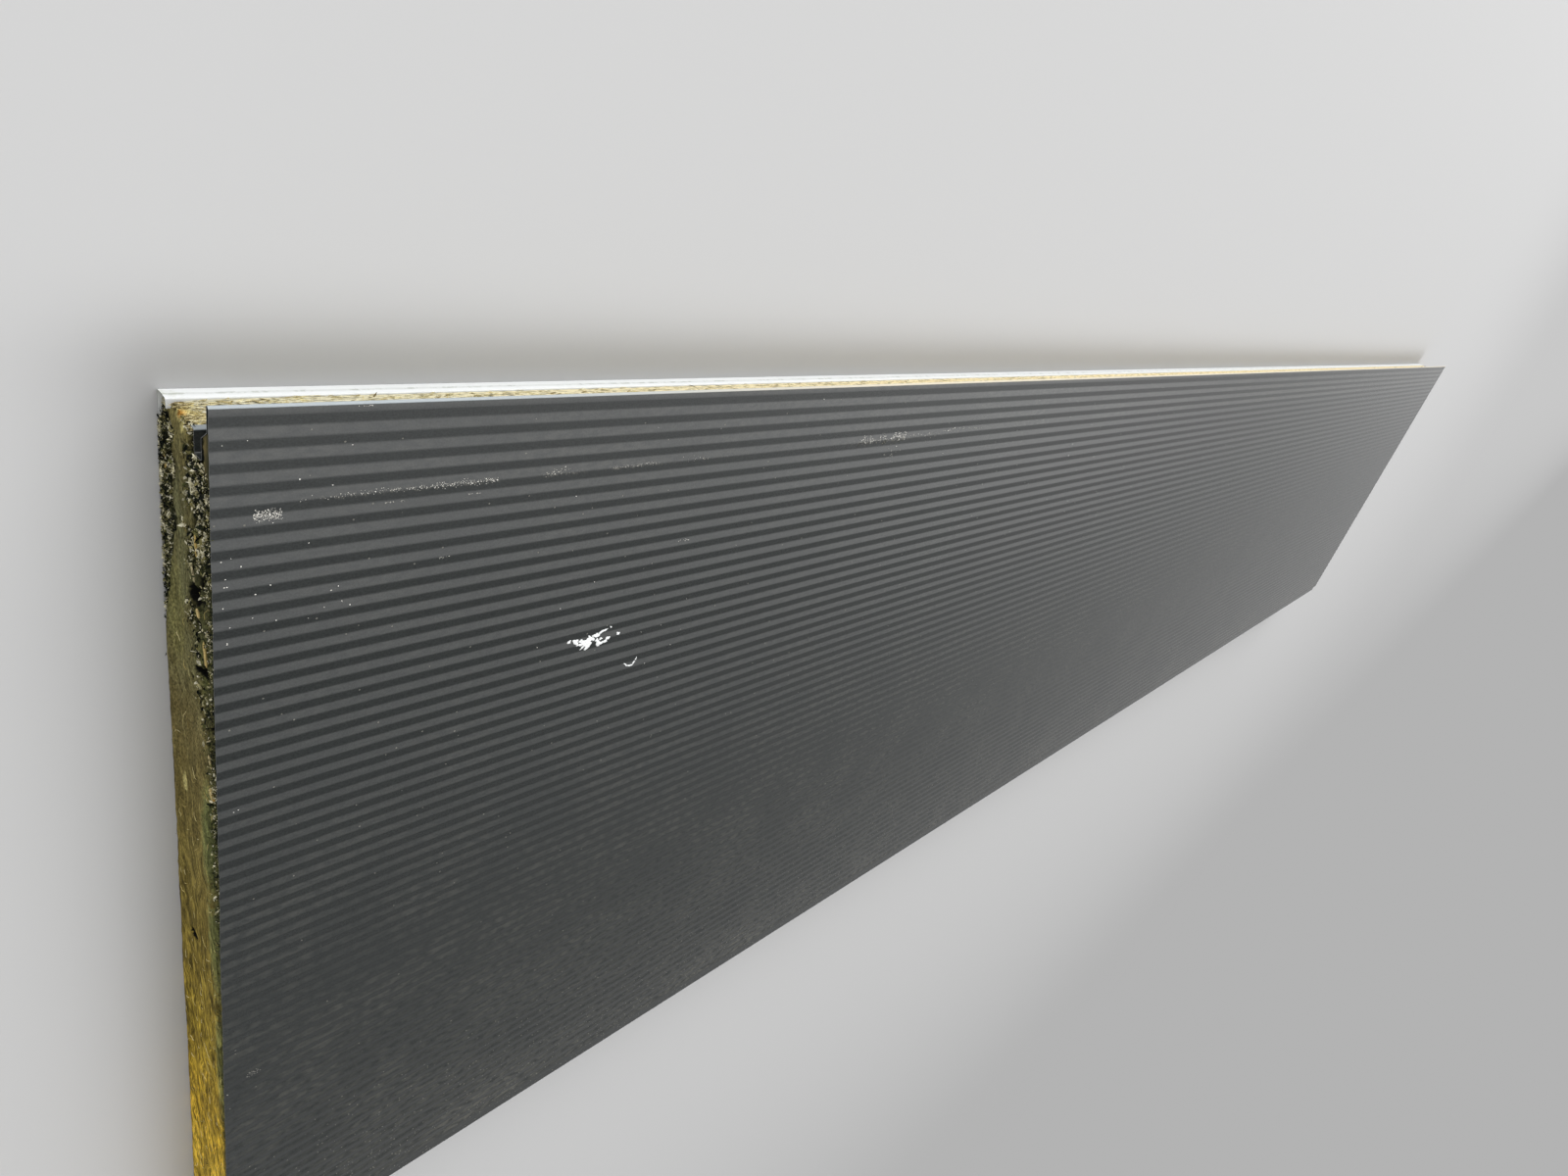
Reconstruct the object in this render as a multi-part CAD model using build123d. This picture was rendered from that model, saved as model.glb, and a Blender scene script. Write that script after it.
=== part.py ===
from build123d import *
import math
import os

# A steel and mineral wool sandwich wall panel, lying on its flat inner sheet.
# +X runs along the panel, +Y across it to the groove edge, +Z out of the ribbed outer face.
# All sizes are millimetres.

# The panel as it is sold
panel_length = 5000.0
cover_width = 1150.0
panel_thickness = 100.0

# The two sheets
outer_gauge = 0.6
inner_gauge = 0.5
bend_radius = 1.5

# The V grooves of the outer face, which run the whole length
rib_pitch = 18.2
rib_depth = 0.9
first_crest = 8.6
smallest_last_flat = 9.0

# The groove edge, measured down from the top of the nose and back from the crests of the face
nose_thickness = 4.0
nose_return = 22.0
slope_rise = 9.0
groove_front = 16.0
groove_width = 14.0
groove_depth = 49.0
lip_width = 6.0
core_step = 28.0

# The tongue edge fits the neighbour's groove edge with this much air
face_gap = 2.0
joint_clearance = 1.0
tip_clearance = 3.0

# The inner sheet's folded edges
flange_width = 18.0
flange_lip = 8.0
flange_flat = 11.0
flange_fall = 1.0

# The joints between the wool's lamellas, which show on the long edges
first_lamella = 540.0
lamella_length = 1040.0
slit_width = 1.0
slit_depth = 4.0

# The end that was cut on site: each sheet was sawn from its own side, a little out of square,
# and the inner sheet's cut stands out past the outer one's
outer_saw_angle = 0.6
inner_saw_angle = 0.6
saw_step = 2.0
saw_overrun = 10.0

# What follows from the sizes above
face_width = cover_width - face_gap
groove_back = groove_front + groove_width
tongue_tip = cover_width + groove_depth - tip_clearance
tongue_core_edge = cover_width + core_step - 2 * (inner_gauge + flange_fall) - joint_clearance
rib_count = int((face_width - first_crest - smallest_last_flat) / rib_pitch)
last_crest = first_crest + rib_count * rib_pitch
inner_edge = core_step - inner_gauge - flange_fall
cut_end = -panel_length / 2
nose_top = tongue_tip / 2

# Sections are drawn as (down from the nose, back from the crests) and stand on the cut end
section_plane = Plane(origin=(cut_end, nose_top, panel_thickness), x_dir=(0, -1, 0), z_dir=(1, 0, 0))


def turn(points, i):
    """How far an outline turns to the left at a point, in radians."""
    arriving = Vector(*points[i]) - Vector(*points[i - 1])
    leaving = Vector(*points[i + 1]) - Vector(*points[i])
    return math.atan2(arriving.cross(leaving).Z, arriving.dot(leaving))


def mitred(points, distance):
    """The same open outline, moved by a distance to its left, with sharp corners."""
    moved = []
    for i, point in enumerate(points):
        here = Vector(*point)
        first = max(i - 1, 0)
        last = min(i, len(points) - 2)
        left_in = (Vector(*points[first + 1]) - Vector(*points[first])).normalized().rotate(Axis.Z, 90)
        left_out = (Vector(*points[last + 1]) - Vector(*points[last])).normalized().rotate(Axis.Z, 90)
        middle = left_in + left_out
        corner = here + middle * (2 * distance / middle.dot(middle))
        moved.append((corner.X, corner.Y))
    return moved


def clear_of_bends(points, gauge):
    """The wool's outline inside a folded sheet, with its outer corners cut off clear of the bends."""
    cleared = [points[0]]
    for i in range(1, len(points) - 1):
        angle = turn(points, i)
        if angle > 0:
            cleared.append(points[i])
            continue
        here = Vector(*points[i])
        back_off = (bend_radius - gauge) * math.tan(-angle / 2)
        for neighbour in (points[i - 1], points[i + 1]):
            corner = here + (Vector(*neighbour) - here).normalized() * back_off
            cleared.append((corner.X, corner.Y))
    cleared.append(points[-1])
    return cleared


def groove_outline():
    """The bare side of the outer sheet from its first crest round the nose to the lip on the core."""
    lip_level = core_step - outer_gauge
    return [
        (first_crest, 0),
        (0, 0),
        (0, nose_thickness),
        (nose_return, nose_thickness),
        (nose_return + slope_rise, groove_front),
        (groove_depth, groove_front),
        (groove_depth, groove_back),
        (lip_level, groove_back),
        (lip_level, groove_back + lip_width),
    ]


def tongue_outline():
    """The bare side of the outer sheet from the lip on the core round the tongue to the last crest."""
    neighbour = [(down + cover_width, back) for down, back in groove_outline()]
    nose_corner, slope_top, slope_end, wall_end, floor_end = mitred(neighbour, joint_clearance)[2:7]
    lip_level = tongue_core_edge + outer_gauge
    return [
        (lip_level, groove_back + lip_width),
        (lip_level, floor_end[1]),
        (tongue_tip, floor_end[1]),
        (tongue_tip, wall_end[1]),
        slope_end,
        slope_top,
        (face_width, nose_corner[1]),
        (face_width, 0),
        (last_crest, 0),
    ]


def rib_outline():
    """The crests and troughs of the face, from the last crest to the first."""
    points = []
    for rib in range(rib_count):
        crest = last_crest - rib * rib_pitch
        points.append((crest, 0))
        points.append((crest - rib_pitch / 2, rib_depth))
    points.append((first_crest, 0))
    return points


def inner_outline():
    """The bare side of the inner sheet, from lip to lip."""
    groove_flange = core_step - inner_gauge
    tongue_flange = tongue_core_edge + inner_gauge
    lip_line = panel_thickness - flange_width
    crease = panel_thickness - flange_flat
    return [
        (groove_flange + flange_lip, lip_line),
        (groove_flange, lip_line),
        (groove_flange - flange_fall, crease),
        (groove_flange - flange_fall, panel_thickness),
        (tongue_flange + flange_fall, panel_thickness),
        (tongue_flange + flange_fall, crease),
        (tongue_flange, lip_line),
        (tongue_flange - flange_lip, lip_line),
    ]


def folded(points, gauge):
    """The section of a folded sheet, with its bare side on the outline."""
    bare_side = FilletPolyline(*points, radius=bend_radius)
    return make_face(offset(bare_side, gauge, side=Side.RIGHT))


def backed(points, gauge):
    """The side of a sheet that the wool is glued to, straight back from the bare side."""
    return [(down, back + gauge) for down, back in points]


def along_panel(section):
    """A section drawn across the panel, run along its whole length."""
    return extrude(section_plane * section, panel_length)


def outer_cut(down):
    """How far in from the cut end the outer sheet was sawn."""
    return saw_step + down * math.tan(math.radians(outer_saw_angle))


def inner_cut(down):
    """How far in from the cut end the inner sheet was sawn, from nothing at its own edge."""
    return (down - inner_edge) * math.tan(math.radians(inner_saw_angle))


def sheet_saw(cut, angle):
    """What the saw takes off a sheet."""
    reach = 2 * tongue_tip
    block = Box(reach, reach, reach, align=(Align.MAX, Align.CENTER, Align.CENTER))
    return Pos(cut_end + cut(0), nose_top, 0) * Rot(0, 0, angle) * block


def wool_saw():
    """What is taken off the wool, ruled between the two sheets' saw lines."""
    ends = []
    for down in (-saw_overrun, tongue_tip + saw_overrun):
        corners = [
            (-2 * saw_overrun, 0),
            (outer_cut(down), 0),
            (inner_cut(down), -panel_thickness),
            (-2 * saw_overrun, -panel_thickness),
        ]
        across = Plane(
            origin=(cut_end, nose_top - down, panel_thickness), x_dir=(1, 0, 0), z_dir=(0, -1, 0)
        )
        ends.append(across * make_face(Polyline(*corners, close=True)))
    return loft(ends, ruled=True)


def make_outer_skin():
    """The ribbed face with the groove and the tongue folded from the same sheet."""
    ribs = rib_outline()
    web = make_face(Polyline(*ribs, *reversed(backed(ribs, outer_gauge)), close=True))
    section = web + folded(groove_outline(), outer_gauge) + folded(tongue_outline(), outer_gauge)
    return along_panel(section) - sheet_saw(outer_cut, outer_saw_angle)


def make_inner_skin():
    """The flat sheet with a flange and a turned-in lip along both edges."""
    section = folded(inner_outline(), inner_gauge)
    return along_panel(section) - sheet_saw(inner_cut, inner_saw_angle)


def make_core():
    """The wool, glued to both sheets and open along the two steps between them."""
    tongue_side = clear_of_bends(mitred(tongue_outline(), -outer_gauge), outer_gauge)
    groove_side = clear_of_bends(mitred(groove_outline(), -outer_gauge), outer_gauge)
    inner_side = clear_of_bends(mitred(inner_outline(), -inner_gauge), inner_gauge)
    lip_line = panel_thickness - flange_width
    groove_lip = [(groove_side[-1][0], lip_line), (inner_side[0][0], lip_line)]
    tongue_lip = [(inner_side[-1][0], lip_line), (tongue_side[0][0], lip_line)]
    face_side = backed(rib_outline(), outer_gauge)[1:-1]
    outline = tongue_side + face_side + groove_side + groove_lip + inner_side + tongue_lip
    section = make_face(Polyline(*outline, close=True))
    nose_hollow = Pos(nose_return / 2, 0) * Rectangle(nose_return, panel_thickness)
    wool = along_panel(section - nose_hollow) - wool_saw()
    return wool - lamella_slits()


def lamella_slits():
    """The open joints between lamellas, on the strip of wool that each long edge leaves bare."""
    bare_width = panel_thickness - flange_width - groove_back - lip_width
    slit_level = flange_width + bare_width / 2
    groove_edge = nose_top - core_step
    tongue_edge = nose_top - tongue_core_edge
    slits = []
    place = first_lamella
    while place < panel_length - slit_width:
        for edge in (groove_edge, tongue_edge):
            slit = Box(slit_width, 2 * slit_depth, bare_width)
            slits.append(Pos(cut_end + place, edge, slit_level) * slit)
        place += lamella_length
    return slits


os.makedirs("parts", exist_ok=True)
export_step(make_outer_skin(), "parts/outer_skin.step")
export_step(make_core(), "parts/mineral_wool_core.step")
export_step(make_inner_skin(), "parts/inner_skin.step")
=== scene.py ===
import math
import random

import bmesh
import bpy
from mathutils import Matrix, Vector, noise
from mathutils.geometry import delaunay_2d_cdt


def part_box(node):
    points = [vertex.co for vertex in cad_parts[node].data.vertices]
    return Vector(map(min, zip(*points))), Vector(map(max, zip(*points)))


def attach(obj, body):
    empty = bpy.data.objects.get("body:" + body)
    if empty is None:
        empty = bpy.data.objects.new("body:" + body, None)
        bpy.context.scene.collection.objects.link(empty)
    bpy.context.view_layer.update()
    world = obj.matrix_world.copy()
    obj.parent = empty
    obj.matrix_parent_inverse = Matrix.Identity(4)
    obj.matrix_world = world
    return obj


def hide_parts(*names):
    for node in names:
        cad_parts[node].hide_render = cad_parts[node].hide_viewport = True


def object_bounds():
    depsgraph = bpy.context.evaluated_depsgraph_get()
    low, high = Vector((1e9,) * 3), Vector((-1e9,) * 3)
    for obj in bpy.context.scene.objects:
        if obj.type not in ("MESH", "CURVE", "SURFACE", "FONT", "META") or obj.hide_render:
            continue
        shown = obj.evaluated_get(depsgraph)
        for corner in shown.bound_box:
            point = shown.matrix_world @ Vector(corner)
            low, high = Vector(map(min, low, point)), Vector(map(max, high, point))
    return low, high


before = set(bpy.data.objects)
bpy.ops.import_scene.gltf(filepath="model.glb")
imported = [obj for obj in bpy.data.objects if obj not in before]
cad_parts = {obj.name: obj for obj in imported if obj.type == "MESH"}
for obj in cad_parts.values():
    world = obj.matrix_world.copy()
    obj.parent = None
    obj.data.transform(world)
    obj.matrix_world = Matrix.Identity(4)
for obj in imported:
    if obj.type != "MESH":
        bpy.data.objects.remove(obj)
cad_low, cad_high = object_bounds()
skin_low, skin_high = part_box("outer_skin")

MM = 0.001

# The camera was solved from the photograph, relative to the nose's corner at the sawn end
CAMERA_FROM_CORNER = Vector((-0.2319, 0.2943, 0.6966))
CAMERA_RIGHT = Vector((0.67237, 0.25874, 0.69352))
CAMERA_UP = Vector((0.17286, 0.85613, -0.487))
FOCAL_PIXELS = 974.1
PHOTO_WIDTH = 1600.0
SENSOR_MM = 36.0

# The studio: a pale tone for the floor and for the space above it
ROOM_TONE = 0.58
FLOOR_TONE = 0.54
FLOOR_SIZE = 160.0
# From how far to how far off the floor turns into the room
FLOOR_FADE = (3.0, 8.0)

# The glow overhead, by a direction's slant across and along the panel for each unit of height
GLOW_STRENGTH = 5.5
GLOW_LOW_EDGE = (-1.1, 0.2)
GLOW_HIGH_EDGE = (-0.25, 0.25)
GLOW_NEAR_EDGE = (-0.3, 0.3)
GLOW_FAR_EDGE = (0.2, 3.6)
GLOW_FAR_SHARE = 0.06
# The room is a little darker low down past the tongue edge, and so is the floor there
ROOM_LOW_EDGE = (-1.0, 0.0)
ROOM_LOW_TONE = 0.45
FLOOR_SIDE_FADE = (-4.5, 0.6)
# The softbox, low beside the nose edge
SOFTBOX_PLACE = Vector((0.5, 7.0, 1.8))
SOFTBOX_TARGET = Vector((0.0, 0.5, 0.0))
SOFTBOX_SIZE = (14.0, 3.2)
SOFTBOX_RADIANCE = 4.3

# The outer sheet's section, measured down from the top of the nose and back from the crests
COVER_WIDTH = 1150 * MM
FACE_WIDTH = 1148 * MM
SHEET_GAUGE = 0.6 * MM
BEND_RADIUS = 1.5 * MM
RIB_PITCH = 18.2 * MM
RIB_DEPTH = 0.9 * MM
FIRST_CREST = 8.6 * MM
SMALLEST_LAST_FLAT = 9 * MM
CREST_RADIUS = 13 * MM
NOSE_THICKNESS = 4 * MM
NOSE_RETURN = 22 * MM
SLOPE_RISE = 9 * MM
GROOVE_FRONT = 16 * MM
GROOVE_WIDTH = 14 * MM
GROOVE_DEPTH = 49 * MM
LIP_WIDTH = 6 * MM
CORE_STEP = 28 * MM
# The fold on the nose and the lip on the wool are rounder and lie a little lower than drawn
NOSE_DROP = 0.8 * MM
NOSE_BACK_RADIUS = 1.4 * MM
NOSE_FRONT_RADIUS = 2.5 * MM
LIP_DROP = 2.2 * MM
LIP_RADIUS = 2.2 * MM
JOINT_CLEARANCE = 1 * MM
TIP_CLEARANCE = 3 * MM

# The inner sheet's edges
INNER_GAUGE = 0.5 * MM
FLANGE_WIDTH = 18 * MM
FLANGE_LIP = 8 * MM
FLANGE_FLAT = 11 * MM
FLANGE_FALL = 1 * MM

# The saw cut: both sheets were cut at one slant, the outer one a step further in
SAW_SLOPE = math.tan(math.radians(0.6))
SAW_STEP = 2 * MM
SAW_WOBBLE = 0.8 * MM

# How finely the sheets are modelled, and how far they are out of true
SHEET_STEPS = 44
BEND_STEPS = 6
FACE_WAVE = 0.22 * MM
FACE_WAVE_START = 50 * MM
SHALLOW_BEND = math.radians(20)

# The wool: the joints between its lamellas, its air to the sheets and how finely it is modelled
FIRST_LAMELLA = 540 * MM
LAMELLA_LENGTH = 1040 * MM
SLIT_WIDTH = 1 * MM
SLIT_DEPTH = 3.5 * MM
GLUE_GAP = 0.4 * MM
STRIP_STEP = 3 * MM
CAP_EDGE_STEP = 4 * MM
COARSE_EVERY = 8
CAP_STEP = 2 * MM
FAR_CAP_STEP = 4 * MM
CAP_MARGIN = 1.1 * MM
END_RINGS = (0.0, 2.5 * MM, 6 * MM, 11 * MM, 18 * MM)
RELIEF_REACH = 18 * MM
FIRST_LONG_RING = 44 * MM
RING_STEPS = ((0.3, 4 * MM), (1.5, 8 * MM), (5.0, 20 * MM))

# How the wool has weathered at the sawn end: along each line, how far down and then how much
WOOL_SET_BACK = 0.6 * MM
FELT_RELIEF = 0.45 * MM
STRIP_RELIEF = 0.5 * MM
END_WAVE = 0.9 * MM
FRONT_MOSS_WIDTH = (
    (0.03, 0.044), (0.13, 0.048), (0.19, 0.045), (0.22, 0.036), (0.26, 0.040), (0.30, 0.027),
    (0.40, 0.026), (0.60, 0.020), (0.80, 0.011), (1.1, 0.005), (1.2, 0.0),
)
FRONT_MOSS_STRENGTH = (
    (0.0, 1.0), (0.14, 1.0), (0.16, 0.8), (0.4, 0.75), (0.7, 0.55), (1.1, 0.3), (1.2, 0.0),
)
REAR_MOSS_WIDTH = (
    (0.028, 0.0), (0.038, 0.014), (0.05, 0.023), (0.13, 0.024), (0.17, 0.014), (0.24, 0.0),
)
MOSS_DEPTH = 1.5 * MM
PIT_DEPTH = 7 * MM
HOLE_DEPTH = 7 * MM
CORNER_WEAR = 5 * MM
CORNER_REACH = 8 * MM
RIM_SWELL = 2.6 * MM
SAWN_REACH = 13 * MM
# How fine the wool's relief is, in features to the metre: coarse and then fine
END_FELT = ((90, 420), (330, 800))
STRIP_FELT = ((70, 400), (260, 800))
# Holes in the sawn wool: down, back, half height and half width, in millimetres
HOLES = (
    (43, 38, 8, 3.5), (140, 46, 3, 4), (178, 41, 10, 8), (205, 33, 4, 4.5), (247, 25, 6.5, 7.5),
    (267, 51, 3.5, 3), (252, 37, 4, 7.5), (300, 12, 3, 6), (604, 71, 6, 9),
)
# Spots of other colours: down, back, half height, half width in millimetres, and how far from
# green, -1, through pale yellow to orange, 1
TINGES = (
    (30, 65, 8, 7, 1.0), (38, 56, 7, 4, 0.5), (38, 93, 9, 6, 0.6), (140, 24, 16, 7, -0.8),
    (215, 80, 60, 20, -0.25), (245, 28, 30, 9, -0.5), (378, 15, 5, 4, 1.0), (435, 24, 70, 18, -0.8),
    (540, 14, 110, 20, -0.75), (700, 8, 150, 15, -0.6), (405, 78, 12, 6, 0.45),
)

# What follows from the sizes above
GROOVE_BACK = GROOVE_FRONT + GROOVE_WIDTH
INNER_EDGE = CORE_STEP - INNER_GAUGE - FLANGE_FALL
TONGUE_TIP = COVER_WIDTH + GROOVE_DEPTH - TIP_CLEARANCE
TONGUE_CORE_EDGE = COVER_WIDTH + CORE_STEP - 2 * (INNER_GAUGE + FLANGE_FALL) - JOINT_CLEARANCE
THICKNESS = cad_high.z - cad_low.z
RIB_COUNT = int((FACE_WIDTH - FIRST_CREST - SMALLEST_LAST_FLAT) / RIB_PITCH)
LAST_CREST = FIRST_CREST + RIB_COUNT * RIB_PITCH
# The wool that each long edge leaves bare, measured back
STRIP_START = GROOVE_BACK + LIP_WIDTH
STRIP_END = THICKNESS - FLANGE_WIDTH

# Finishes, in linear colour
DARK_PAINT = (0.018, 0.0208, 0.0204)
WHITE_PAINT = (0.80, 0.82, 0.82)
DRY_DUST = (0.40, 0.38, 0.32, 1)
# Pale dust for the ledges, which also paints a highlight on the bends of the nose and lip that face up
LEDGE_DUST_AND_HIGHLIGHT = (0.40, 0.44, 0.46, 1)
WARM_LEDGE_DUST_AND_HIGHLIGHT = (0.66, 0.60, 0.47, 1)
DULL_STEEL = (0.17, 0.175, 0.17, 1)
# Grey grime, which also paints the shade in the flange's crease
CREASE_GRIME_AND_SHADE = (0.42, 0.44, 0.41, 1)
GREEN_GRIME = (0.34, 0.36, 0.20, 1)
GRIMY_CUT = (0.07, 0.065, 0.045, 1)
RUB_LINE = 81.4 * MM
# How strong the rub line is along the panel, in metres
RUB_STRENGTH = (
    (0.06, 0.0), (0.11, 0.35), (0.235, 0.45), (0.25, 0.0), (0.285, 0.0), (0.295, 0.4), (0.33, 0.4),
    (0.345, 0.0), (0.365, 0.0), (0.375, 0.4), (0.43, 0.35), (0.45, 0.06), (0.76, 0.06), (0.785, 0.8),
    (0.88, 0.8), (0.9, 0.3), (0.96, 0.3), (1.0, 0.0),
)
END_STAIN = (0.10, 0.075, 0.022, 1)
BROWN_STAIN = (0.19, 0.14, 0.055, 1)
FRESH_WOOL = (0.42, 0.34, 0.16, 1)
PALE_STRAND = (0.55, 0.50, 0.30, 1)
# Dark moss, which also paints the shade in the seam behind the face sheet
DARK_MOSS_AND_SEAM_SHADE = (0.030, 0.034, 0.016, 1)
MOSS_OLIVE = (0.13, 0.14, 0.05, 1)
# Black moss, which also paints the shade in the wool's holes, pits and slits
BLACK_MOSS_AND_HOLLOW_SHADE = (0.005, 0.005, 0.004, 1)
END_TONES = (
    (0.02, (0.24, 0.20, 0.07)), (0.08, (0.155, 0.15, 0.07)), (0.22, (0.15, 0.15, 0.07)),
    (0.32, (0.19, 0.16, 0.065)), (0.55, (0.24, 0.185, 0.045)), (0.75, (0.38, 0.27, 0.035)),
    (0.9, (0.60, 0.39, 0.04)), (1.0, (0.78, 0.52, 0.06)),
)
STRIP_TONES = (
    (0.0, (0.60, 0.57, 0.42)), (0.06, (0.70, 0.63, 0.42)), (0.2, (0.78, 0.66, 0.40)),
    (1.0, (0.72, 0.59, 0.34)),
)
TINGE_TONES = (
    (0.0, (0.09, 0.125, 0.045)), (0.5, (0.30, 0.27, 0.09)), (0.75, (0.62, 0.54, 0.22)),
    (1.0, (0.50, 0.24, 0.04)),
)
MOSS_TONES = (
    (0.0, (0.006, 0.008, 0.006)), (0.3, (0.022, 0.028, 0.013)), (0.5, (0.12, 0.12, 0.04)),
    (0.65, (0.30, 0.265, 0.11)), (0.82, (0.60, 0.555, 0.34)), (1.0, (0.75, 0.71, 0.53)),
)
TORN_TONES = (
    (0.0, (0.16, 0.12, 0.05)), (0.35, (0.40, 0.33, 0.16)), (0.7, (0.62, 0.56, 0.34)),
    (1.0, (0.78, 0.74, 0.52)),
)
FIBRE_TONES = (
    (0.0, (0.20, 0.14, 0.04)), (0.35, (0.46, 0.36, 0.12)), (0.7, (0.74, 0.62, 0.26)),
    (1.0, (0.88, 0.80, 0.46)),
)
STRAW_TONES = ((0.0, (0.20, 0.17, 0.07)), (0.5, (0.58, 0.42, 0.14)), (1.0, (0.66, 0.63, 0.45)))
LIME_TONES = ((0.0, (0.84, 0.86, 0.86)), (1.0, (0.86, 0.87, 0.86)))
SOIL_TONES = (
    (0.0, (0.03, 0.03, 0.02)), (0.3, (0.20, 0.19, 0.16)), (0.6, (0.42, 0.405, 0.36)),
    (1.0, (0.84, 0.82, 0.76)),
)

# How many small pieces there are, and in how many parts the long ones bend
MOSS_LEAVES = 7500
TORN_FLAKES = 1700
END_STRANDS = 240
STRIP_STRANDS = 500
SCRAPS_TOGETHER = 5
STRAND_PARTS = 5
STRAW_PARTS = 7
# Leaves of moss, in millimetres, how many of them are long ones, and how thick leaves and flakes are
LONG_LEAVES = (3.5, 8.0)
SHORT_LEAVES = (1.6, 4.0)
LONG_SHARE = 0.3
LEAF_THICKNESS = 0.4 * MM
# How far small pieces may stand past the sawn end, and how near they come to the floor
END_OVERHANG = 1.4 * MM
FLOOR_GAP = 0.2 * MM
# Directions off the face and off the bare edge, and one that no straw or fibre lies along
OFF_FACE = Vector((0, 0, 1))
OFF_EDGE = Vector((0, 1, 0))
ANY_SIDE = Vector((0.31, 0.77, 0.55))

# Straws in the moss: from down and back, to down and back, radius in millimetres, tone
STRAWS = (
    (117, 33, 140, 31, 1.2, 0.5), (188, 35, 196, 31, 1.4, 0.6), (213, 23, 237, 18, 1.2, 0.55),
    (50, 22, 72, 39, 0.8, 0.9), (53, 28, 58, 12, 0.8, 0.85), (74, 41, 88, 36, 1.2, 1.0),
    (150, 44, 166, 38, 0.8, 0.8), (330, 20, 342, 12, 1.0, 0.7), (366, 18, 378, 13, 1.3, 0.6),
    (310, 14, 318, 22, 0.8, 0.8), (74, 95, 80, 91, 0.8, 0.45), (80, 96, 88, 94, 0.9, 0.4),
    (84, 89, 90, 92, 0.7, 0.5), (66, 94, 71, 97, 0.7, 0.45),
)

# A drop of the white splash: its height, how far it reaches into the face, its sides, how ragged
# its rim is and in how many waves, and each ring's share of its width and how high it lies
DAUB_HEIGHT = 0.35 * MM
DAUB_SUNK = -0.15 * MM
DAUB_SIDES = 22
DAUB_RAGGED = 0.16
DAUB_WAVES = (2, 3, 4)
DAUB_RINGS = ((1.0, DAUB_SUNK), (1.0, 0.0), (0.8, 0.8 * DAUB_HEIGHT), (0.4, DAUB_HEIGHT))
# The white splash: along and down from the face's corner, length and width in millimetres, slant
SPLASH = (
    (359, 292, 5, 4, 0), (368, 294, 9, 6, 20), (377, 299, 12, 4, -10), (384, 298, 14, 9, 20),
    (386, 304, 10, 8, -30), (379, 304, 8, 3, -40), (388, 293, 8, 2.6, 50), (396, 292, 9, 6, 0),
    (403, 289, 10, 3.6, -15), (408, 287.5, 6, 2.6, -30), (398, 299, 4.5, 5, 0),
    (401, 304, 9, 7, 30), (408, 304, 10, 5, -15), (413, 300, 7, 4.5, -35), (403, 298, 4, 3, 0),
    (428, 297, 4.5, 4, 0), (415, 285, 3.5, 2, 40), (450, 347, 5, 1.5, 35), (454, 350, 6, 1.8, 15),
    (459, 351, 6, 2.0, -10), (463, 348, 6, 2.0, -45), (465.5, 343, 6, 1.7, -80),
    (376, 295, 8, 4, 0), (392, 296, 5, 4, 20),
)

# Dried soil on the face: from and to along, down, spread in millimetres, how many crumbs, their
# size in millimetres and their tone
CRUMB_PATCHES = (
    (31, 52, 92, 5, 250, 0.5, 0.78), (64, 112, 81, 2.0, 30, 0.5, 0.7),
    (112, 175, 81, 3.0, 80, 0.5, 0.75), (175, 240, 81, 3.4, 130, 0.55, 0.8),
    (133, 152, 92, 1.2, 20, 0.5, 0.6), (212, 224, 93, 0.8, 12, 0.6, 0.7),
    (190, 200, 155, 0.8, 10, 0.6, 0.7), (103, 118, 4, 1.0, 10, 0.6, 0.7),
    (292, 325, 79, 4, 34, 0.6, 0.7), (370, 430, 81, 2.2, 50, 0.6, 0.65),
    (465, 505, 79, 4, 18, 0.6, 0.6), (490, 507, 185, 1.0, 12, 0.7, 0.8),
    (780, 812, 78, 5, 54, 0.9, 0.78), (818, 838, 76, 4, 26, 0.8, 0.75),
    (850, 885, 77, 6, 80, 1.0, 0.82), (780, 885, 83, 5, 60, 1.1, 0.1),
    (890, 960, 78, 2, 34, 0.7, 0.65), (845, 875, 102, 12, 20, 0.8, 0.65),
    (980, 1040, 76, 3, 16, 1.0, 0.75), (1040, 1090, 76, 2, 10, 1.0, 0.6),
    (30, 46, 773, 5, 44, 0.5, 0.55),
)
# Dark scraps that lie on the bare edge: along, back and length in millimetres
SCRAPS = (
    (3950, 60, 22), (3962, 52, 14), (4340, 58, 26), (4352, 66, 12), (4700, 50, 18), (4760, 62, 24),
    (4830, 55, 20), (4900, 60, 28), (4960, 50, 24), (4985, 64, 18),
)
# Single crumbs on the face: their size, their tone, and along and down, in millimetres
SINGLE_SIZE = 0.8
SINGLE_TONE = 0.92
SINGLE_CRUMBS = (
    (317, 288), (494, 301), (528, 271), (464, 304), (518, 336), (481, 354), (338, 243), (510, 384),
    (93, 170), (99, 167), (103, 183), (110, 188), (88, 186), (31, 184), (49, 190), (75, 194),
    (12, 204), (15, 126), (22, 134), (33, 162), (12, 151), (11, 790),
    (64, 63), (90, 71), (104, 37), (9, 31), (26, 28), (44, 155), (73, 121), (11, 144), (422, 40),
    (514, 46), (680, 17), (591, 206), (333, 109), (378, 218), (1000, 114), (1447, 153), (1510, 189),
    (1392, 45), (21, 386), (17, 387), (8, 128), (14, 189), (10, 151), (9, 170), (12, 205),
)


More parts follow.
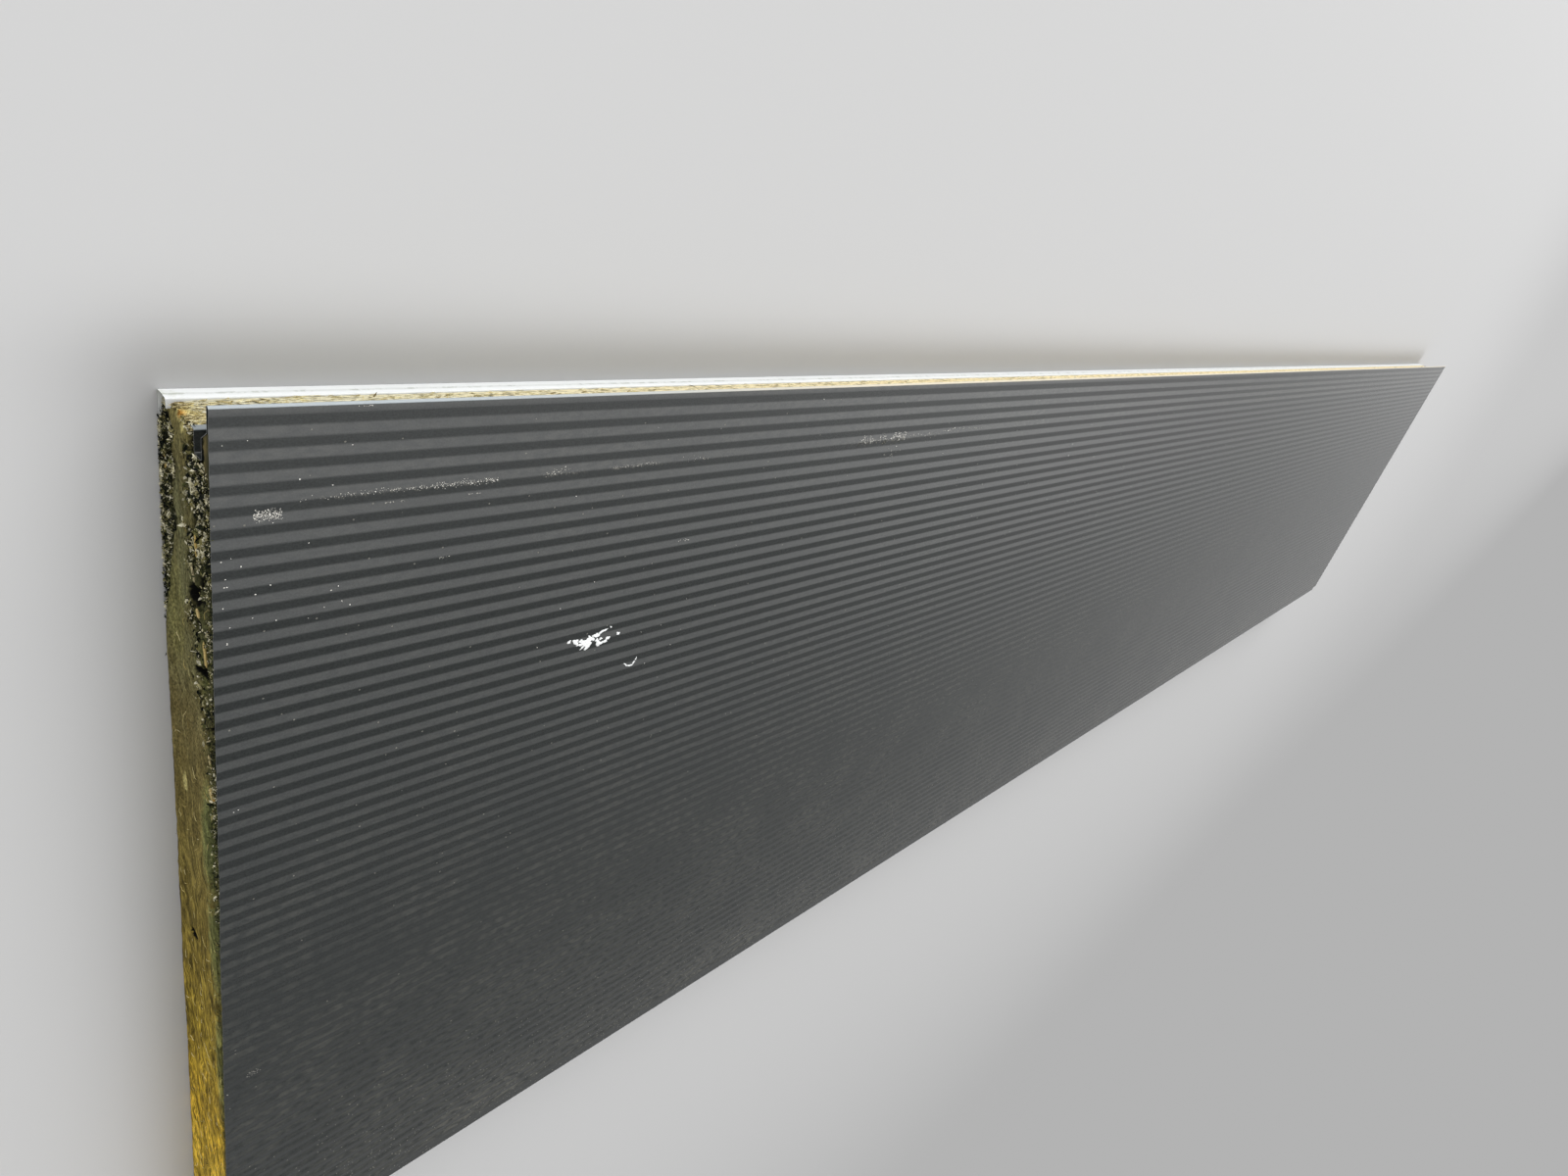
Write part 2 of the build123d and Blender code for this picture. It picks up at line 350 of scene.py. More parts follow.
class Field:
    """A number or a colour that changes over a surface: one output of a shader node."""

    def __init__(self, tree, socket):
        self.tree = tree
        self.socket = socket

    def maths(self, operation, *others):
        return field(self.tree, "Math", 0, dict(enumerate((self, *others))), operation=operation)

    def __add__(self, other):
        return self.maths("ADD", other)

    def __sub__(self, other):
        return self.maths("SUBTRACT", other)

    def __rsub__(self, other):
        return field(self.tree, "Math", 0, {0: other, 1: self}, operation="SUBTRACT")

    def __mul__(self, other):
        return self.maths("MULTIPLY", other)

    def __abs__(self):
        return self.maths("ABSOLUTE")

    def step(self, start, end, first=0.0, last=1.0):
        """Goes smoothly from one number to another as this goes from start to end."""
        limits = {"Value": self, "From Min": start, "From Max": end, "To Min": first, "To Max": last}
        return field(self.tree, "MapRange", "Result", limits, interpolation_type="SMOOTHSTEP")

    def mix(self, first, last):
        """The colour that lies this share of the way from one colour to another."""
        return field(self.tree, "Mix", 2, {0: self, 6: first, 7: last}, data_type="RGBA")

    def shade(self, color):
        """A colour made lighter or darker by this factor."""
        return field(self.tree, "VectorMath", "Vector", {0: color, "Scale": self}, operation="SCALE")

    def ramp(self, stops):
        """The colour that a row of stops gives for this."""
        color = field(self.tree, "ValToRGB", "Color", {"Fac": self})
        elements = color.socket.node.color_ramp.elements
        for element, (spot, tone) in zip(elements, (stops[0], stops[-1])):
            element.position = spot
            element.color = (*tone, 1)
        for spot, tone in stops[1:-1]:
            elements.new(spot).color = (*tone, 1)
        return color

    def axes(self):
        """The X, Y and Z of a vector."""
        first = field(self.tree, "SeparateXYZ", "X", {"Vector": self})
        return [Field(self.tree, socket) for socket in first.socket.node.outputs]


def feed(tree, socket, value):
    """A field or a plain value on an input."""
    if isinstance(value, Field):
        tree.links.new(value.socket, socket)
    else:
        socket.default_value = value


def field(tree, kind, output, inputs=None, **settings):
    """One output of a new node, which has values or other fields on its inputs."""
    node = tree.nodes.new("ShaderNode" + kind)
    for name, value in settings.items():
        setattr(node, name, value)
    for name, value in (inputs or {}).items():
        feed(tree, node.inputs[name], value)
    return Field(tree, node.outputs[output])


def noise_over(position, features, detail=2.0, roughness=0.5, stretch=None):
    """Smooth random values, so many to the metre, which may be drawn out along an axis."""
    tree = position.tree
    if stretch:
        position = field(tree, "VectorMath", "Vector", {0: position, 1: stretch}, operation="MULTIPLY")
    inputs = {"Vector": position, "Scale": features, "Detail": detail, "Roughness": roughness}
    return field(tree, "TexNoise", "Fac", inputs)


def make_group(name, output, effect, **inputs):
    """A group of shader nodes that turns its inputs into one value, by the effect given."""
    group = bpy.data.node_groups.new(name, "ShaderNodeTree")
    for socket, kind in inputs.items():
        group.interface.new_socket(name=socket, in_out="INPUT", socket_type="NodeSocket" + kind)
    group.interface.new_socket(name=output, in_out="OUTPUT", socket_type="NodeSocketFloat")
    start = group.nodes.new("NodeGroupInput")
    end = group.nodes.new("NodeGroupOutput")
    result = effect(*[Field(group, start.outputs[socket]) for socket in inputs])
    feed(group, end.inputs[output], result)
    return group


def grain_value(position, features, stretch):
    """Fine grain of one size, from 0 to 1, which may be drawn out along an axis."""
    return noise_over(position, features, 3.0, 0.6, stretch).step(0.3, 0.7)


def dirt_mask(position, features, coverage):
    """Dirt in ragged patches, which cover more of the surface the larger the coverage."""
    return (noise_over(position, features, 5.0, 0.65) + (coverage - 0.5)).step(0.47, 0.62)


def specks_mask(position, features, share, radius):
    """Small separate specks, of which the share that shows can be set."""
    away = field(position.tree, "TexVoronoi", "Distance", {"Vector": position, "Scale": features})
    luck = Field(position.tree, away.socket.node.outputs["Color"]).axes()[0]
    return luck.maths("LESS_THAN", share) * away.maths("LESS_THAN", radius)


def cut_edge_mask(position):
    """Where a sheet's sawn end shows its steel."""
    along = field(position.tree, "NewGeometry", "True Normal").axes()[0]
    dulled = noise_over(position, 140.0).step(0.3, 0.6, 0.4, 1.0)
    return abs(along).maths("GREATER_THAN", 0.8) * dulled


class Surface:
    """A material, with its shader and its position over the panel."""

    def __init__(self, name, roughness, ior):
        self.material = bpy.data.materials.new(name)
        self.material.use_nodes = True
        self.tree = self.material.node_tree
        self.shader = self.tree.nodes["Principled BSDF"].inputs
        self.shader["Roughness"].default_value = roughness
        self.shader["IOR"].default_value = ior
        self.position = field(self.tree, "TexCoord", "Object")

    def places(self):
        """How far down and along the panel each place is, and its height."""
        x, y, z = self.position.axes()
        return skin_high.y - y, x - cad_low.x, z

    def mark(self, name):
        """A number that the mesh carries at each point."""
        return field(self.tree, "Attribute", "Fac", attribute_name=name)

    def effect(self, group, **inputs):
        """What a shared group puts out here, with this material's own values."""
        return field(self.tree, "Group", 0, {"Position": self.position, **inputs}, node_tree=group)

    def finish(self, color, relief, depth):
        """The material, with its colour and its bumps on the shader."""
        feed(self.tree, self.shader["Base Color"], color)
        normal = field(self.tree, "Bump", "Normal", {"Height": relief, "Distance": depth})
        feed(self.tree, self.shader["Normal"], normal)
        return self.material


def dark_coating():
    """Anthracite paint with a fine grain, dusty ledges with a painted highlight, a dusty rub line, and
    specks.
    """
    coat = Surface("dark_coating", 0.17, 1.35)
    down, along, height = coat.places()
    grain = coat.effect(fine_grain, Features=620.0, Stretch=(1, 1, 1))
    paint = (grain * 0.5 + 0.75).shade(DARK_PAINT)

    # A thin film of dust on the flanks that faced up, more above the rub line and along the bottom
    above_line = down.step(RUB_LINE + 2 * MM, RUB_LINE - 2 * MM) * along.step(0.6, 3.0, 0.2, 1.0)
    upwards = field(coat.tree, "NewGeometry", "Normal").axes()[1]
    cloud = noise_over(coat.position, 9.0, 4.0)
    dapple = noise_over(coat.position, 170.0, 4.0, stretch=(0.45, 1, 1))
    film = above_line * 0.03 + down.step(1.0, 1.15) * 0.03 + down.step(0.3, 0.9, 0.010, 0.034)
    film = film * cloud.step(0.3, 0.7, 0.5, 1.5) * upwards.step(-0.06, 0.08, 0.15, 1.0)
    paint = (film * dapple.step(0.33, 0.67, 0.1, 1.9)).mix(paint, DRY_DUST)

    # The rub line, where something leaned on one crest
    strength = along.ramp([(spot, (share,) * 3) for spot, share in RUB_STRENGTH])
    on_line = abs(down - RUB_LINE).step(0.4 * MM, 4 * MM, 1.0, 0.0) * strength
    dirt = coat.effect(settled_dirt, Features=300.0, Coverage=0.48)
    paint = (on_line * dirt * 0.5).mix(paint, DRY_DUST)

    # Splashes of soil, thicker towards the bottom edge
    share = down.step(0.85, 1.15, 0.02, 0.5)
    splash = coat.effect(specks, Features=190.0, Share=share, Radius=0.17)
    paint = (splash * 0.3).mix(paint, DRY_DUST)

    # Dust that lies on the ledges, with a painted highlight on their bends that face up, and the bare
    # cut edge
    top = skin_high.z
    facing_up = upwards.step(0.14, 0.45)
    nose = facing_up * height.step(top - 8 * MM, top - 6 * MM) * 0.92
    lip = facing_up * height.step(top - 24 * MM, top - 28 * MM) * down.step(40 * MM, 34 * MM) * 0.5
    ledge_dust_and_highlight = nose.maths("MAXIMUM", lip)
    edge = coat.effect(cut_edge)
    paint = ledge_dust_and_highlight.mix(paint, along.step(0.15, 0.9).mix(LEDGE_DUST_AND_HIGHLIGHT, WARM_LEDGE_DUST_AND_HIGHLIGHT))
    paint = edge.mix(paint, DULL_STEEL)

    rougher = ledge_dust_and_highlight.maths("MAXIMUM", edge).maths("MAXIMUM", splash)
    roughness = rougher.step(0.0, 1.0, grain.step(0.0, 1.0, 0.15, 0.2), 0.6)
    feed(coat.tree, coat.shader["Roughness"], roughness)
    return coat.finish(paint, grain, 0.02 * MM)


def white_coating():
    """White paint, greyed in the crease by grime and painted shade, and greened at the sawn corner."""
    coat = Surface("white_coating", 0.35, 1.45)
    along, height = coat.places()[1:]
    grain = coat.effect(fine_grain, Features=300.0, Stretch=(0.15, 1, 1))
    dirt = coat.effect(settled_dirt, Features=90.0, Coverage=0.5)
    paint = (grain * 0.05 + 0.95).shade(WHITE_PAINT)
    # The crease is greyed by grime and by painted shade
    crease = abs(height - FLANGE_FLAT).step(0.0, 3 * MM, 0.85, 0.0)
    paint = (crease * dirt.step(0.0, 1.0, 0.4, 1.0)).mix(paint, CREASE_GRIME_AND_SHADE)
    paint = (along.step(0.0, 0.02, 0.25, 0.02) * dirt).mix(paint, GREEN_GRIME)
    paint = coat.effect(cut_edge).mix(paint, GRIMY_CUT)
    feed(coat.tree, coat.shader["Roughness"], dirt.step(0.0, 1.0, 0.32, 0.5))
    return coat.finish(paint, grain, 0.01 * MM)


def weathered_wool():
    """Stone wool: olive and mossy at the top of the sawn end, ochre lower down, straw on its edges."""
    wool = Surface("weathered_wool", 0.95, 1.2)
    down, along, height = wool.places()
    moss, hollow, sawn, tinge = [wool.mark(name) for name in ("moss", "hollow", "sawn", "tinge")]

    # The fibres lean a little and wander as they run down the sawn end
    lean = down * -0.16 + noise_over(wool.position, 22.0) * 0.03
    shift = field(wool.tree, "CombineXYZ", "Vector", {"Z": lean})
    combed = field(wool.tree, "VectorMath", "Vector", {0: wool.position, 1: shift}, operation="ADD")
    streaks = wool.effect(fine_grain, Position=combed, Features=230.0, Stretch=(1, 0.16, 1))
    silk = wool.effect(fine_grain, Position=combed, Features=800.0, Stretch=(1, 0.08, 1))
    mottle = wool.effect(fine_grain, Features=620.0, Stretch=(1, 0.5, 1))
    flakes = wool.effect(fine_grain, Features=420.0, Stretch=(0.16, 1, 1))
    blotches = wool.effect(fine_grain, Features=48.0, Stretch=(1, 0.5, 1))

    end_tone = (blotches * 0.6).mix(down.ramp(END_TONES), END_STAIN)
    end_tone = along.step(2.4, 2.6).mix(end_tone, FRESH_WOOL)
    strip_tone = (along * 0.2).ramp(STRIP_TONES)
    tinge_tone = (tinge * 0.5 + 0.5).ramp(TINGE_TONES)
    tinged = abs(tinge).step(0.0, 0.5, 0.0, 0.8)

    # Dark gaps between the fibres, which run down the sawn end and along the bare edges
    combing = down.step(0.3, 0.7)
    streak_light = (streaks - 0.5) * (combing * 0.7 + 0.65) + 1.0
    end_light = streak_light * (combing.mix(mottle, silk) * 1.3 + 0.45)
    strip_light = flakes.step(0.0, 0.6) * 0.6 + 0.5
    end_tone = end_light.shade(tinged.mix(end_tone, tinge_tone))
    strip_tone = strip_light.shade(tinged.mix(strip_tone, tinge_tone))
    tone = sawn.mix(strip_tone, end_tone)
    strands = wool.effect(specks, Features=300.0, Share=0.16, Radius=0.28)
    tone = (strands * sawn.step(0.0, 1.0, 0.4, 0.08)).mix(tone, PALE_STRAND)

    # The arm of wool inside the nose is browner, and the glue line behind the face is dark, with
    # painted shade in the seam beside the sheet
    back = skin_high.z - height
    in_arm = mottle * 0.004 + down.step(0.03, 0.085, 0.014, 0.006) - back
    arm = in_arm.step(0.0, 3 * MM) * down.step(0.085, 0.055) * sawn
    tone = (arm * 0.75).mix(tone, BROWN_STAIN)
    glue_line_and_shade = (streaks * 0.005 + back).step(0.017, 0.005, 0.0, 0.88) * sawn
    tone = glue_line_and_shade.mix(tone, DARK_MOSS_AND_SEAM_SHADE)

    patches = wool.effect(settled_dirt, Features=260.0, Coverage=0.5)
    damp = down.step(0.13, 0.2).mix(BLACK_MOSS_AND_HOLLOW_SHADE, MOSS_OLIVE)
    tone = (moss * 0.85).mix(tone, patches.mix(DARK_MOSS_AND_SEAM_SHADE, damp))
    # Holes, pits and slits are painted black: painted shade in the hollows
    tone = hollow.step(0.0, 0.5).mix(tone, BLACK_MOSS_AND_HOLLOW_SHADE)
    return wool.finish(tone, streaks + mottle, 0.35 * MM)


def tone_material(name, stops, roughness):
    """A finish for many small pieces, each with a tone of its own."""
    surface = Surface(name, roughness, 1.2)
    grain = surface.effect(fine_grain, Features=900.0, Stretch=(1, 1, 1))
    color = (grain * 0.6 + 0.7).shade(surface.mark("tone").ramp(stops))
    return surface.finish(color, grain, 0.1 * MM)


def add_object(data, name):
    made = bpy.data.objects.new(name, data)
    bpy.context.scene.collection.objects.link(made)
    return made


def make_camera():
    data = bpy.data.cameras.new("photo_camera")
    data.sensor_width = SENSOR_MM
    data.lens = FOCAL_PIXELS / PHOTO_WIDTH * SENSOR_MM
    data.clip_start = 0.01
    data.clip_end = 400.0
    camera = add_object(data, "photo_camera")
    right = CAMERA_RIGHT.normalized()
    back = right.cross(CAMERA_UP).normalized()
    turned = Matrix((right, back.cross(right), back)).transposed().to_4x4()
    corner = Vector((skin_low.x, skin_high.y, skin_high.z))
    camera.matrix_world = Matrix.Translation(corner + CAMERA_FROM_CORNER) @ turned
    bpy.context.scene.camera = camera


def make_floor():
    """A plain floor, which turns into the room's own tone far off, so that no horizon shows."""
    bpy.ops.mesh.primitive_plane_add(size=FLOOR_SIZE)
    floor = bpy.context.object
    floor.name = "floor"
    ground = Surface("floor", 0.9, 1.5)
    tree = ground.tree
    ground.shader["Specular IOR Level"].default_value = 0.0
    far_tone = ground.position.axes()[1].step(*FLOOR_SIDE_FADE, ROOM_LOW_TONE, ROOM_TONE)
    feed(tree, ground.shader["Base Color"], far_tone * (FLOOR_TONE / ROOM_TONE))
    far_floor = field(tree, "Emission", "Emission", {"Color": (1, 1, 1, 1), "Strength": far_tone})
    distance = field(tree, "VectorMath", "Value", {0: ground.position}, operation="LENGTH")
    near_floor = Field(tree, tree.nodes["Principled BSDF"].outputs["BSDF"])
    layers = {0: distance.step(*FLOOR_FADE), 1: near_floor, 2: far_floor}
    faded = field(tree, "MixShader", "Shader", layers)
    feed(tree, tree.nodes["Material Output"].inputs["Surface"], faded)
    floor.data.materials.append(ground.material)


def make_room():
    """A plain tone all round, darker past the tongue edge, and a soft glow that the ribs mirror."""
    world = bpy.data.worlds.new("room")
    bpy.context.scene.world = world
    world.use_nodes = True
    tree = world.node_tree
    x, y, z = field(tree, "TexCoord", "Generated").axes()
    height = z.maths("MAXIMUM", 0.02)
    across = y.maths("DIVIDE", height)
    along = x.maths("DIVIDE", height)
    glow = across.step(*GLOW_LOW_EDGE, 0.0, GLOW_STRENGTH) * across.step(*GLOW_HIGH_EDGE, 1.0, 0.0)
    glow = glow * along.step(*GLOW_NEAR_EDGE) * along.step(*GLOW_FAR_EDGE, 1.0, GLOW_FAR_SHARE)
    room = across.step(*ROOM_LOW_EDGE, ROOM_LOW_TONE, ROOM_TONE)
    background = tree.nodes["Background"].inputs
    background["Color"].default_value = (1, 1, 1, 1)
    feed(tree, background["Strength"], glow + room)


def make_softbox():
    """An even rectangular light."""
    width, height = SOFTBOX_SIZE
    data = bpy.data.lights.new("edge_softbox", "AREA")
    data.shape = "RECTANGLE"
    data.size = width
    data.size_y = height
    data.energy = SOFTBOX_RADIANCE * math.pi * width * height
    lamp = add_object(data, "edge_softbox")
    lamp.location = SOFTBOX_PLACE
    lamp.rotation_euler = (SOFTBOX_TARGET - SOFTBOX_PLACE).to_track_quat("-Z", "Y").to_euler()
    lamp.visible_camera = False


def within(value, low=0.0, high=1.0):
    return min(high, max(low, value))


def smooth(start, end, value):
    """Goes smoothly from 0 to 1 as a value goes from start to end."""
    share = within((value - start) / (end - start))
    return share * share * (3 - 2 * share)


def read_off(line, value):
    """The height of a line of points above a value, level beyond the line's ends."""
    if value <= line[0][0]:
        return line[0][1]
    for (start, first), (end, last) in zip(line, line[1:]):
        if value <= end:
            return first + (last - first) * (value - start) / (end - start)
    return line[-1][1]


def place(x, down, back):
    """From along, down and back on the panel to Blender's space."""
    return Vector((x, skin_high.y - down, skin_high.z - back))


def make_piece(name, vertices, faces, hard_angle, marks):
    """A closed piece that rides on the panel, with hard edges and the numbers that mark its points."""
    mesh = bpy.data.meshes.new(name)
    mesh.from_pydata(vertices, [], faces)
    mesh.validate()
    turned = bmesh.new()
    turned.from_mesh(mesh)
    bmesh.ops.recalc_face_normals(turned, faces=turned.faces)
    turned.to_mesh(mesh)
    turned.free()
    mesh.shade_smooth()
    mesh.set_sharp_from_angle(angle=math.radians(hard_angle))
    for mark, values in marks.items():
        mesh.attributes.new(mark, "FLOAT", "POINT").data.foreach_set("value", values)
    piece = add_object(mesh, name)
    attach(piece, "root")
    return piece


def left_of(direction):
    return Vector((-direction.y, direction.x))


def mitred(points, distance):
    """The same open outline, moved by a distance to its left, with sharp corners."""
    moved = []
    for i, point in enumerate(points):
        first = max(i - 1, 0)
        last = min(i, len(points) - 2)
        left_in = left_of((points[first + 1] - points[first]).normalized())
        left_out = left_of((points[last + 1] - points[last]).normalized())
        middle = left_in + left_out
        moved.append(point + middle * (2 * distance / middle.dot(middle)))
    return moved


def path(*corners):
    return [Vector(corner) for corner in corners]


def groove_path():
    """The sheet's bare side from the lip on the wool round the groove to the top of the nose."""
    lip_level = CORE_STEP - SHEET_GAUGE + LIP_DROP
    return path(
        (lip_level, GROOVE_BACK + LIP_WIDTH),
        (lip_level, GROOVE_BACK),
        (GROOVE_DEPTH, GROOVE_BACK),
        (GROOVE_DEPTH, GROOVE_FRONT),
        (NOSE_RETURN + SLOPE_RISE, GROOVE_FRONT),
        (NOSE_RETURN, NOSE_THICKNESS),
        (NOSE_DROP, NOSE_THICKNESS),
        (NOSE_DROP, 0),
    )


def tongue_path():
    """The sheet's bare side from the end of the face round the tongue to the lip on the wool."""
    neighbour = [point + Vector((COVER_WIDTH, 0)) for point in reversed(groove_path())]
    nose_corner, slope_top, slope_end, wall_end, floor_end = mitred(neighbour, JOINT_CLEARANCE)[1:6]
    lip_level = TONGUE_CORE_EDGE + SHEET_GAUGE
    return path(
        (FACE_WIDTH, 0),
        (FACE_WIDTH, nose_corner.y),
        slope_top,
        slope_end,
        (TONGUE_TIP, wall_end.y),
        (TONGUE_TIP, floor_end.y),
        (lip_level, floor_end.y),
        (lip_level, GROOVE_BACK + LIP_WIDTH),
    )


def rib_path():
    """The crests and troughs of the face."""
    points = []
    for rib in range(RIB_COUNT):
        crest = FIRST_CREST + rib * RIB_PITCH
        points += path((crest, 0), (crest + RIB_PITCH / 2, RIB_DEPTH))
    return points + path((LAST_CREST, 0))


def inner_path():
    """The inner sheet's bare side from the lip at the tongue round to the lip at the groove."""
    groove_flange = CORE_STEP - INNER_GAUGE
    tongue_flange = TONGUE_CORE_EDGE + INNER_GAUGE
    lip_line = THICKNESS - FLANGE_WIDTH
    crease = THICKNESS - FLANGE_FLAT
    return path(
        (tongue_flange - FLANGE_LIP, lip_line),
        (tongue_flange, lip_line),
        (tongue_flange + FLANGE_FALL, crease),
        (tongue_flange + FLANGE_FALL, THICKNESS),
        (groove_flange - FLANGE_FALL, THICKNESS),
        (groove_flange - FLANGE_FALL, crease),
        (groove_flange, lip_line),
        (groove_flange + FLANGE_LIP, lip_line),
    )


def bent(points, wide_bends):
    """Points along a sheet's bare side with round bends, each with the direction to the wool."""
    line = [(points[0], left_of((points[1] - points[0]).normalized()))]
    for i, (before, corner, after) in enumerate(zip(points, points[1:], points[2:]), 1):
        arriving = (corner - before).normalized()
        leaving = (after - corner).normalized()
        angle = math.atan2(arriving.x * leaving.y - arriving.y * leaving.x, arriving.dot(leaving))
        radius = CREST_RADIUS if abs(angle) < SHALLOW_BEND else wide_bends.get(i, BEND_RADIUS)
        side = math.copysign(radius, angle)
        start = corner - arriving * (radius * math.tan(abs(angle) / 2))
        middle = start + left_of(arriving) * side
        for step in range(BEND_STEPS + 1):
            turned = Matrix.Rotation(angle * step / BEND_STEPS, 2) @ left_of(arriving)
            line.append((middle - turned * side, turned))
    line.append((points[-1], left_of((points[-1] - points[-2]).normalized())))
    return line


def outer_cut(down):
    """Where the saw went through the outer sheet."""
    return cad_low.x + SAW_STEP + down * SAW_SLOPE


def inner_cut(down):
    """Where the saw went through the inner sheet."""
    return cad_low.x + (down - INNER_EDGE) * SAW_SLOPE


def wool_cut(down, back):
    """Where the saw went through the wool, between the two sheets' cuts."""
    share = back / THICKNESS
    return outer_cut(down) * (1 - share) + inner_cut(down) * share


def saw_line(cut, down, seed):
    """A sheet's cut with the saw's small wander, which never leaves the panel's box."""
    wander = noise.noise((down * 9.0, seed, 0.0)) + 0.4 * noise.noise((down * 60.0, seed, 3.0))
    near_top = smooth(0.0, 0.05, down - INNER_EDGE)
    return max(cad_low.x, cut(down) + SAW_WOBBLE * wander * near_top)


def face_wave(x, down):
    """How far the face is out of true, in metres inwards: long shallow waves from rolling."""
    edge = within(min(down, FACE_WIDTH - down) / FACE_WAVE_START)
    wave = noise.noise((x * 2.2, down * 5.0, 0.3)) + 0.5 * noise.noise((x * 5.0, down * 14.0, 4.1))
    return FACE_WAVE * edge * (0.6 + 0.6 * wave)


def make_sheet(name, line, gauge, cut, seed, wavy):
    """A folded sheet over its whole length, with round bends and a wandering sawn end."""
    loop = [point for point, to_wool in line]
    loop += [point + to_wool * gauge for point, to_wool in reversed(line)]
    count = len(loop)
    vertices = []
    for ring in range(SHEET_STEPS + 1):
        for down, back in loop:
            start = saw_line(cut, down, seed)
            x = start + (cad_high.x - start) * ring / SHEET_STEPS
            on_ribs = wavy and back < RIB_DEPTH + 2 * SHEET_GAUGE
            vertices.append(place(x, down, back + (face_wave(x, down) if on_ribs else 0.0)))
    faces = []
    for ring in range(SHEET_STEPS):
        for i in range(count):
            a = ring * count + i
            b = ring * count + (i + 1) % count
            faces.append((a, b, b + count, a + count))
    last = SHEET_STEPS * count
    for i in range(len(line) - 1):
        j = count - 1 - i
        faces.append((i, j, j - 1, i + 1))
        faces.append((last + i, last + i + 1, last + j - 1, last + j))
    return make_piece(name, vertices, faces, 40, {})


def make_outer_sheet():
    """The whole outer sheet with rounded rib crests, for the coarse one in the frame."""
    wide_bends = {1: LIP_RADIUS, 6: NOSE_BACK_RADIUS, 7: NOSE_FRONT_RADIUS}
    line = bent(groove_path() + rib_path() + tongue_path(), wide_bends)
    sheet = make_sheet("outer_sheet", line, SHEET_GAUGE, outer_cut, 1.7, True)
    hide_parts("outer_skin")
    sheet.data.materials.append(dark_coating())


def make_inner_sheet():
    """The white sheet with its creased flanges, for the plain one in the frame."""
    sheet = make_sheet("inner_sheet", bent(inner_path(), {}), INNER_GAUGE, inner_cut, 6.1, False)
    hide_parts("inner_skin")
    sheet.data.materials.append(white_coating())


def moss_on_end(down, back):
    """How thickly moss has grown on the sawn wool, from 0 to 1, in a band behind each sheet."""
    ragged = 1 + 0.35 * noise.noise((down * 60, back * 60, 7.7))
    front = read_off(FRONT_MOSS_WIDTH, down) * ragged
    strength = read_off(FRONT_MOSS_STRENGTH, down)
    behind_face = strength * (1 - smooth(0.75 * front, 1.2 * front + MM, back))
    # The wool's arm inside the nose has stayed clean
    arm = smooth(0.017, 0.010, back) * smooth(0.08, 0.05, down)
    rear = read_off(REAR_MOSS_WIDTH, down) * ragged
    before_sheet = 1 - smooth(0.7 * rear, 1.2 * rear + 0.1 * MM, THICKNESS - back)
    return max(behind_face * (1 - arm), before_sheet)


def leaves_on_end(down, back):
    """How thickly the moss stands up in leaves, from 0 to 1."""
    lush = 1 - smooth(0.13, 0.16, down)
    edge = read_off(FRONT_MOSS_WIDTH, down)
    by_face = 1 - smooth(0.010, 0.018, back)
    by_seam = smooth(edge - 0.007, edge - 0.003, back) * (1 - smooth(0.29, 0.33, down))
    fading = 1 - smooth(0.4, 0.62, down)
    from_rear = THICKNESS - back
    rear = smooth(0.03, 0.025, from_rear) if from_rear < 0.03 else 0.0
    return moss_on_end(down, back) * fading * max(lush, 0.12, 0.9 * by_face, by_seam, rear)


def from_spot(down, back, spot):
    """How far a place is from an oval spot's middle, in its own half height and half width."""
    spot_down, spot_back, half_height, half_width = spot
    return math.hypot((down / MM - spot_down) / half_height, (back / MM - spot_back) / half_width)


def tinge_at(down, back):
    """How far a place has turned green, below 0, or yellow and orange, above 0."""
    for *spot, tinge in TINGES:
        ragged = 0.3 * noise.noise((down * 200, back * 200, spot[0]))
        share = 1 - smooth(0.5, 1.3, from_spot(down, back, spot) + ragged)
        if share > 0:
            return tinge * share
    return 0.0


def hole_at(down, back):
    """How far into one of the holes in the sawn wool a place lies, from 0 to 1."""
    deepest = 0.0
    for spot in HOLES:
        away = from_spot(down, back, spot)
        if away < 2:
            ragged = 0.3 * noise.noise((down * 400, back * 400, spot[0]))
            deepest = max(deepest, 1 - smooth(0.75, 1.25, away + ragged))
    return deepest


def felt(first, second, fineness, seeds):
    """The matted relief of cut wool: coarse lumps and finer ones."""
    coarse, fine = [
        noise.noise((first * size[0], second * size[1], seed)) for size, seed in zip(fineness, seeds)
    ]
    return coarse + 0.6 * fine


def end_wear(down, back):
    """How deep the sawn wool has worn at a place, how mossy it is and how much of a hole."""
    moss = moss_on_end(down, back)
    wave = noise.noise((down * 14, back * 30, 9.2))
    pit = moss * smooth(0.05, 0.5, noise.noise((down * 230, back * 260, 5.5)))
    hole = hole_at(down, back)
    corner = math.exp(-(down - CORE_STEP) / CORNER_REACH) * smooth(0.02, 0.04, back)
    rim = smooth(0.082, 0.096, back) * smooth(0.038, 0.052, down)
    relief = FELT_RELIEF * felt(down, back, END_FELT, (1.1, 2.3))
    depth = WOOL_SET_BACK + relief + END_WAVE * wave + moss * MOSS_DEPTH
    depth += pit * PIT_DEPTH * (1 - rim) + smooth(0.4, 1.0, hole) * HOLE_DEPTH
    depth += corner * CORNER_WEAR * (1 - rim) - rim * RIM_SWELL
    shallowest = cad_low.x + 0.1 * MM - wool_cut(down, back) if rim > 0 else 0.2 * MM
    return max(shallowest, depth), moss, max(pit, hole)


